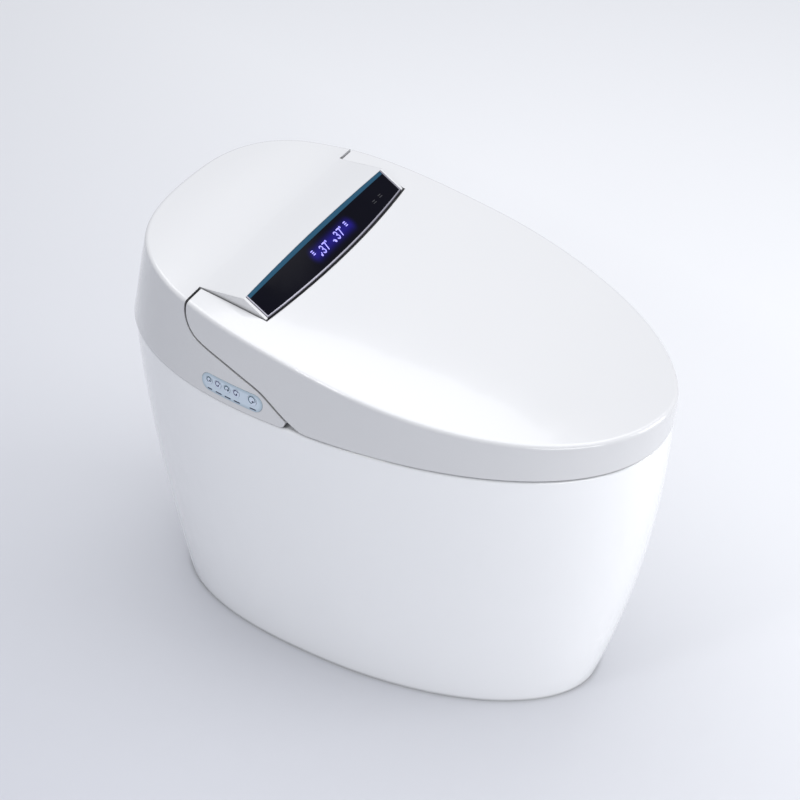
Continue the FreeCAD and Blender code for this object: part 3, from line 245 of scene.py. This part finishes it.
def mask_group(name, build):
    """A group whose one output, Mask, is what build makes of x, y and z in the object's own frame."""
    group = bpy.data.node_groups.new(name, "ShaderNodeTree")
    group.interface.new_socket("Mask", in_out="OUTPUT", socket_type="NodeSocketFloat")
    add, link = group.nodes.new, group.links.new
    place, split, out = add("ShaderNodeTexCoord"), add("ShaderNodeSeparateXYZ"), add("NodeGroupOutput")
    link(place.outputs["Object"], split.inputs["Vector"])

    def calc(operation, *values):
        node = add("ShaderNodeMath")
        node.operation = operation
        for socket, value in zip(node.inputs, values):
            if isinstance(value, (int, float)):
                socket.default_value = value
            else:
                link(value, socket)
        return node.outputs["Value"]

    def soft_step(value, start, end):
        """0 at start and 1 at end, eased."""
        node = add("ShaderNodeMapRange")
        node.interpolation_type = "SMOOTHSTEP"
        link(value, node.inputs["Value"])
        node.inputs["From Min"].default_value = start
        node.inputs["From Max"].default_value = end
        return node.outputs["Result"]

    link(build(*split.outputs, calc, soft_step), out.inputs["Mask"])
    return group


def off_run(calc, along, across, middle, half, level):
    """How far a point lies from a straight run: middle and half along it, level across it."""
    past_end = calc("MAXIMUM", calc("SUBTRACT", calc("ABSOLUTE", calc("SUBTRACT", along, middle)), half), 0.0)
    off_line = calc("SUBTRACT", across, level)
    squares = (calc("MULTIPLY", past_end, past_end), calc("MULTIPLY", off_line, off_line))
    return calc("SQRT", calc("ADD", *squares))


def haze_mask(x, y, z, calc, soft_step):
    """1 on the line of lit figures, fading out round it."""
    first, last, line_y = FIGURE_LINE
    away = off_run(calc, x, y, (first + last) / 2, (last - first) / 2, line_y)
    near = soft_step(away, HAZE_REACH, 0.0)
    return calc("MULTIPLY", near, near)


def frame_reflection_mask(x, y, z, calc, soft_step):
    """The painted reflection on the plated frame: a bright middle line between its two dark edges."""
    share = calc("DIVIDE", x, DISPLAY_HALF)
    bow = calc("MULTIPLY", calc("MULTIPLY", share, share), DISPLAY_BOW)
    from_front = calc("SUBTRACT", y, calc("ADD", bow, DISPLAY_END_Y - DISPLAY_BOW))
    from_end = calc("SUBTRACT", DISPLAY_HALF, calc("ABSOLUTE", x))
    inward = calc("MINIMUM", from_front, from_end)
    return calc("MULTIPLY", soft_step(inward, *FRAME_REFLECTION_START), soft_step(inward, *FRAME_REFLECTION_END))


black_window = finished("black_display_window", (0.003, 0.003, 0.006), (0.004, 0.004, 0.008), 0.08, 0.02,
                        Specular_IOR_Level=0.05, Emission_Strength=1.0)
tinted(black_window, mask_group("display_haze", haze_mask), (0.013, 0.008, 0.20), "Emission Color")
# painted reflection: the frame's dark colour and the bright middle line tinted into it stand in for what the
# plating mirrors
plated_frame = finished("plated_frame_painted_reflection", (0.15, 0.145, 0.17), (0.17, 0.165, 0.19), 0.25, 0.05,
                        edge=0.0002, Metallic=0.6)
tinted(plated_frame, mask_group("painted_frame_reflection", frame_reflection_mask), (0.44, 0.43, 0.50))
teal_strip = finished("teal_strip", (0.020, 0.070, 0.120), (0.024, 0.078, 0.132), 0.35, 0.05, IOR=1.08)
dress(black_window, "display_glass")
dress(plated_frame, "display_bezel")
dress(teal_strip, "display_strip")


ROUND_PATCH_SIDES = 10


def stroke(points, width):
    """A line of even width along points, as tiles of (u, v) corners, with a round patch at each."""
    tiles = []
    for (ua, va), (ub, vb) in zip(points, points[1:]):
        run = math.hypot(ub - ua, vb - va)
        du, dv = (ub - ua) / run * width / 2, (vb - va) / run * width / 2
        tiles.append([(ua + dv, va - du), (ub + dv, vb - du), (ub - dv, vb + du), (ua - dv, va + du)])
    return tiles + [disc(u, v, width / 2, ROUND_PATCH_SIDES)[0] for u, v in points]


def disc(u, v, radius, sides=24):
    """One round tile."""
    turn = 2 * math.pi / sides
    return [[(u + radius * math.cos(turn * i), v + radius * math.sin(turn * i)) for i in range(sides)]]


def arc_points(u, v, radius, start, end, steps=14):
    """Points on an arc, from start to end degrees."""
    angles = [math.radians(start + (end - start) * i / steps) for i in range(steps + 1)]
    return [(u + radius * math.cos(a), v + radius * math.sin(a)) for a in angles]


FIGURE_LIFT = 0.00012           # the figures stand this far out of the face, and reach as far into it


def figures(name, tiles, side, carrier, material, body):
    """Thin figures on a CAD node's face, seen from side: where a tile's (u, v) start, and their way on."""
    start, along = side
    skin = cad[carrier].data
    tree = BVHTree.FromPolygons([v.co for v in skin.vertices], [face.vertices for face in skin.polygons])
    shape = bmesh.new()
    for tile in tiles:
        hits = [tree.ray_cast(start(u, v), along)[0] for u, v in tile]
        if any(hit is None for hit in hits):
            raise ValueError(f"{name} reaches past {carrier}")
        top = [shape.verts.new(hit - along * FIGURE_LIFT) for hit in hits]
        foot = [shape.verts.new(hit + along * FIGURE_LIFT) for hit in hits]
        shape.faces.new(top)
        shape.faces.new(reversed(foot))
        for i in range(len(top)):
            j = (i + 1) % len(top)
            shape.faces.new((top[i], foot[i], foot[j], top[j]))
    bmesh.ops.recalc_face_normals(shape, faces=shape.faces)
    mesh = bpy.data.meshes.new(name)
    shape.to_mesh(mesh)
    shape.free()
    mesh.materials.append(material)
    piece = bpy.data.objects.new(name, mesh)
    bpy.context.collection.objects.link(piece)
    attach(piece, body)


DIGIT_HEIGHT = 0.0086
DIGIT_STROKE = 0.0014
DEGREE_STROKE = 0.6 * DIGIT_STROKE
DEGREE_STEPS = 10


def temperature(x, y):
    """The tiles of a generic 37 degrees, with its lower left corner at x, y."""
    def at(u, v):
        """A place in digit heights, from the lower left corner."""
        return (x + u * DIGIT_HEIGHT, y + v * DIGIT_HEIGHT)

    bowl_u, upper_bowl, lower_bowl = 0.26, (0.74, 0.25), (0.25, 0.27)     # height of the middle, radius
    seven_left, seven_right, seven_foot = 0.86, 1.38, 1.06
    degree_place, degree_r = (1.68, 0.98), 0.11
    three = arc_points(*at(bowl_u, upper_bowl[0]), upper_bowl[1] * DIGIT_HEIGHT, 150, -90)
    three += arc_points(*at(bowl_u, lower_bowl[0]), lower_bowl[1] * DIGIT_HEIGHT, 90, -150)
    seven = [at(seven_left, 1), at(seven_right, 1), at(seven_foot, 0)]
    degree = arc_points(*at(*degree_place), degree_r * DIGIT_HEIGHT, 0, 360, DEGREE_STEPS)
    return stroke(three, DIGIT_STROKE) + stroke(seven, DIGIT_STROKE) + stroke(degree, DEGREE_STROKE)


def bars(x, y, count, length, pitch, width):
    """Short bars one above another: a plain mark of no meaning."""
    levels = [y + pitch * i for i in range(count)]
    return [tile for level in levels for tile in stroke([(x, level), (x + length, level)], width)]


ABOVE_ALL = 0.60                # a height that clears the whole object
FROM_ABOVE = (lambda u, v: Vector((u, v, ABOVE_ALL)), Vector((0, 0, -1)))
TEMPERATURES = ((-0.0190, 0.0958), (0.0120, 0.0963))
LIT_BARS = ((-0.0320, 0.1020, 0.0030), (0.0350, 0.1010, 0.0034))         # x, y, length
LIT_BAR_PITCH, LIT_BAR_WIDTH = 0.0022, 0.0011
LIT_DOTS = ((-0.0235, 0.0960, 0.0013), (0.0068, 0.0970, 0.0016))         # x, y, radius
LIT_TAILS = (([(-0.0232, 0.0960), (-0.0215, 0.0985)], 0.0011), ([(0.0040, 0.0985), (0.0062, 0.0990)], 0.0012))
UNLIT_BARS = ((0.0935, 0.0990, 0.0050), (0.1075, 0.1000, 0.0050))
UNLIT_BAR_PITCH, UNLIT_BAR_WIDTH = 0.0024, 0.0009

lit_violet = finished("lit_violet_figures", (0.10, 0.09, 0.35), (0.12, 0.11, 0.40), 0.4,
                      Emission_Color=(0.40, 0.37, 1.0, 1.0), Emission_Strength=1.1)
unlit_grey = finished("unlit_grey_figures", (0.016, 0.016, 0.022), (0.022, 0.022, 0.028), 0.4)
lit_tiles = [tile for place in TEMPERATURES for tile in temperature(*place)]
for bar_x, bar_y, length in LIT_BARS:
    lit_tiles += bars(bar_x, bar_y, 3, length, LIT_BAR_PITCH, LIT_BAR_WIDTH)
for dot in LIT_DOTS:
    lit_tiles += disc(*dot)
for tail in LIT_TAILS:
    lit_tiles += stroke(*tail)
grey_tiles = []
for bar_x, bar_y, length in UNLIT_BARS:
    grey_tiles += bars(bar_x, bar_y, 2, length, UNLIT_BAR_PITCH, UNLIT_BAR_WIDTH)
figures("display_figures", lit_tiles, FROM_ABOVE, "display_glass", lit_violet, "base")
figures("unlit_figures", grey_tiles, FROM_ABOVE, "display_glass", unlit_grey, "base")

# ---------------------------------------------------------------- the control panel
# A pale blue panel, let into the cover's -X wing, with five push buttons moulded in the
# same blue. Each button has an open ring and a dot printed on it, and a mark under it.

panel_low, panel_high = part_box("control_panel")
PANEL_Y, PANEL_Z = (panel_low[1] + panel_high[1]) / 2, (panel_low[2] + panel_high[2]) / 2
PANEL_RADIUS = (panel_high[2] - panel_low[2]) / 2
PANEL_HALF_RUN = (panel_high[1] - panel_low[1]) / 2 - PANEL_RADIUS
BORDER_START = 0.55 * PANEL_RADIUS
RING_ROW_Z = PANEL_Z + 0.0034
RING_STROKE = 0.0011
RING_STEPS = 22
MARK_ROW_Z = PANEL_Z - 0.0084
MARK_SHIFT = 0.0013
MARK_STROKE = 0.0014
SMALL_MARK, LARGE_MARK = 0.0026, 0.0038                 # half lengths
DASH_PITCH, DASH_LENGTH = 0.72, 0.5                     # in half lengths
SMALL_RING, LARGE_RING = 0.0031, 0.0045
DOT_SHIFT_Y, DOT_SHIFT_Z, DOT_SIZE = 0.30, 0.45, 0.30   # in ring radii


def panel_edge_mask(x, y, z, calc, soft_step):
    """0 along the panel's middle line and 1 at its border."""
    return soft_step(off_run(calc, y, z, PANEL_Y, PANEL_HALF_RUN, PANEL_Z), BORDER_START, PANEL_RADIUS)


panel_edge = mask_group("panel_edge", panel_edge_mask)
panel_blue = finished("pale_blue_panel", (0.58, 0.67, 0.77), (0.62, 0.71, 0.81), 0.22, edge=0.0002)
button_blue = finished("pale_blue_button", (0.63, 0.71, 0.83), (0.66, 0.74, 0.86), 0.20, edge=0.0003,
                       Coat_Weight=0.4)
for blue in (panel_blue, button_blue):
    tinted(blue, panel_edge, (0.42, 0.52, 0.60))
dress(panel_blue, "control_panel")
ring_teal = finished("printed_teal", (0.045, 0.13, 0.17), (0.06, 0.15, 0.20), 0.4)
ring_violet = finished("printed_violet_grey", (0.13, 0.13, 0.28), (0.16, 0.16, 0.31), 0.4)
dot_blue = finished("printed_dark_blue", (0.008, 0.012, 0.06), (0.012, 0.016, 0.07), 0.4)


BESIDE_ALL = -0.26              # an x that clears the whole object
FROM_THE_SIDE = (lambda u, v: Vector((BESIDE_ALL, u, v)), Vector((1, 0, 0)))
# for each button: its ring's radius, arc in degrees and colour, and its mark's half length
button_prints = (
    ("stop_button", SMALL_RING, (-70, 210), ring_teal, SMALL_MARK),
    ("rear_wash_button", SMALL_RING, (-110, 160), ring_violet, LARGE_MARK),
    ("front_wash_button", SMALL_RING, (-55, 240), ring_teal, LARGE_MARK),
    ("dryer_button", SMALL_RING, (-120, 150), ring_violet, LARGE_MARK),
    ("flush_button", LARGE_RING, (-90, 195), ring_teal, LARGE_MARK),
)
for name, ring_r, arc, ring_colour, half in button_prints:
    dress(button_blue, name)
    button_low, button_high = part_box(name)
    y = (button_low[1] + button_high[1]) / 2
    ring = stroke(arc_points(y, RING_ROW_Z, ring_r, *arc, RING_STEPS), RING_STROKE)
    figures(f"{name}_ring", ring, FROM_THE_SIDE, name, ring_colour, name)
    dot = disc(y - ring_r * DOT_SHIFT_Y, RING_ROW_Z - ring_r * DOT_SHIFT_Z, ring_r * DOT_SIZE)
    figures(f"{name}_dot", dot, FROM_THE_SIDE, name, dot_blue, name)
    mark_start = y - MARK_SHIFT - half
    mark = []
    for dash in range(3):
        dash_start = mark_start + half * DASH_PITCH * dash
        mark += stroke([(dash_start, MARK_ROW_Z), (dash_start + half * DASH_LENGTH, MARK_ROW_Z)], MARK_STROKE)
    figures(f"{name}_mark", mark, FROM_THE_SIDE, "control_panel", dot_blue, "base")

# ---------------------------------------------------------------- the heated seat
# A hollow white shell with two arms up to the hinge, closed by a plate below, with the
# heating foil inside it. Soft bumpers under it stop just above the pan's rim.

bumper_rubber = finished("pale_bumper_rubber", (0.52, 0.53, 0.54), (0.58, 0.58, 0.58), 0.6)
foil = finished("heating_foil", (0.62, 0.62, 0.63), (0.7, 0.7, 0.7), 0.35, 0.15, Metallic=0.9)
dress(seat_white, "seat_shell", "seat_base")
dress(foil, "seat_heating_foil")
dress(bumper_rubber, "seat_bumpers")

# ---------------------------------------------------------------- the lid
# A high-gloss white moulding like the rear cover, with two ears round the hinge. Soft
# bumpers inside it stop just above the seat.

dress(gloss_white, "lid_shell")
dress(bumper_rubber, "lid_bumpers")

# ---------------------------------------------------------------- floor, light and camera
# A pale seamless floor under soft lights: one large overhead, one towards the nose, a
# low one from the camera's side and a small one for the streak on the pan's rim.

FLOOR_HALF = 12.0
floor_corners = [(x * FLOOR_HALF, y * FLOOR_HALF, 0) for x, y in ((-1, -1), (1, -1), (1, 1), (-1, 1))]
floor_mesh = bpy.data.meshes.new("studio_floor")
floor_mesh.from_pydata(floor_corners, [], [(0, 1, 2, 3)])
studio_floor = bpy.data.objects.new("studio_floor", floor_mesh)
bpy.context.collection.objects.link(studio_floor)
CAMERA_RIGHT = (0.518, -0.855)  # the picture's right on the floor, in x and y
DEPTH_SHARE = 1.15              # how much a step away from the camera counts against a step to its right
FLOOR_REACH = 1.2


def floor_falloff_mask(x, y, z, calc, soft_step):
    """Painted light falloff on the floor: 0 at the picture's lower left and 1 at its upper right."""
    side = calc("ADD", calc("MULTIPLY", x, CAMERA_RIGHT[0]), calc("MULTIPLY", y, CAMERA_RIGHT[1]))
    depth = calc("ADD", calc("MULTIPLY", x, -CAMERA_RIGHT[1]), calc("MULTIPLY", y, CAMERA_RIGHT[0]))
    along = calc("ADD", side, calc("MULTIPLY", depth, DEPTH_SHARE))
    return calc("DIVIDE", calc("ADD", along, FLOOR_REACH), 2 * FLOOR_REACH)


# painted light: the floor runs from darker at the picture's lower left to lighter at its upper right, in
# place of the lights' falloff
pale_floor = finished("pale_floor", (0.53, 0.54, 0.59), (0.54, 0.55, 0.60), 0.6)
tinted(pale_floor, mask_group("painted_floor_falloff", floor_falloff_mask), (0.85, 0.855, 0.875))
floor_mesh.materials.append(pale_floor)

world = bpy.data.worlds.new("studio")
world.use_nodes = True
background = world.node_tree.nodes["Background"]
background.inputs["Color"].default_value = (0.90, 0.93, 1.0, 1.0)
background.inputs["Strength"].default_value = 0.50
bpy.context.scene.world = world


def softbox(name, place, target, width, height, power):
    """A white rectangular light, in metres and watts, aimed at target."""
    light = bpy.data.lights.new(name, "AREA")
    light.shape = "RECTANGLE"
    light.size, light.size_y = width, height
    light.energy = power
    lamp = bpy.data.objects.new(name, light)
    lamp.location = place
    lamp.rotation_euler = (Vector(target) - Vector(place)).to_track_quat("-Z", "Y").to_euler()
    bpy.context.collection.objects.link(lamp)


CENTRE = (0.0, 0.0, 0.3)
LOW_CENTRE = (0.0, 0.0, 0.15)
RIM_POINT = (-0.190, -0.065, 0.400)
softbox("overhead_light", (0.2, 0.1, 2.6), CENTRE, 2.6, 2.6, 45.0)
softbox("nose_light", (0.9, -2.6, 1.3), CENTRE, 1.6, 1.6, 30.0)
softbox("low_fill", (-1.8, -2.4, 0.5), LOW_CENTRE, 1.6, 0.8, 17.0)
softbox("rim_light", (-1.54, 0.35, 1.77), RIM_POINT, 0.32, 0.6, 5.0)

bpy.context.scene.view_settings.view_transform = "Standard"

CAMERA_PLACE = Vector((-2.0186, -1.2169, 2.3037))
CAMERA_TARGET = Vector((0.0093, 0.0126, 0.3075))
SENSOR_WIDTH, FOCAL_LENGTH = 36.0, 117.6                # millimetres
lens = bpy.data.cameras.new("camera")
lens.sensor_width, lens.lens = SENSOR_WIDTH, FOCAL_LENGTH
camera = bpy.data.objects.new("camera", lens)
camera.location = CAMERA_PLACE
camera.rotation_euler = (CAMERA_TARGET - CAMERA_PLACE).to_track_quat("-Z", "Y").to_euler()
bpy.context.collection.objects.link(camera)
bpy.context.scene.camera = camera
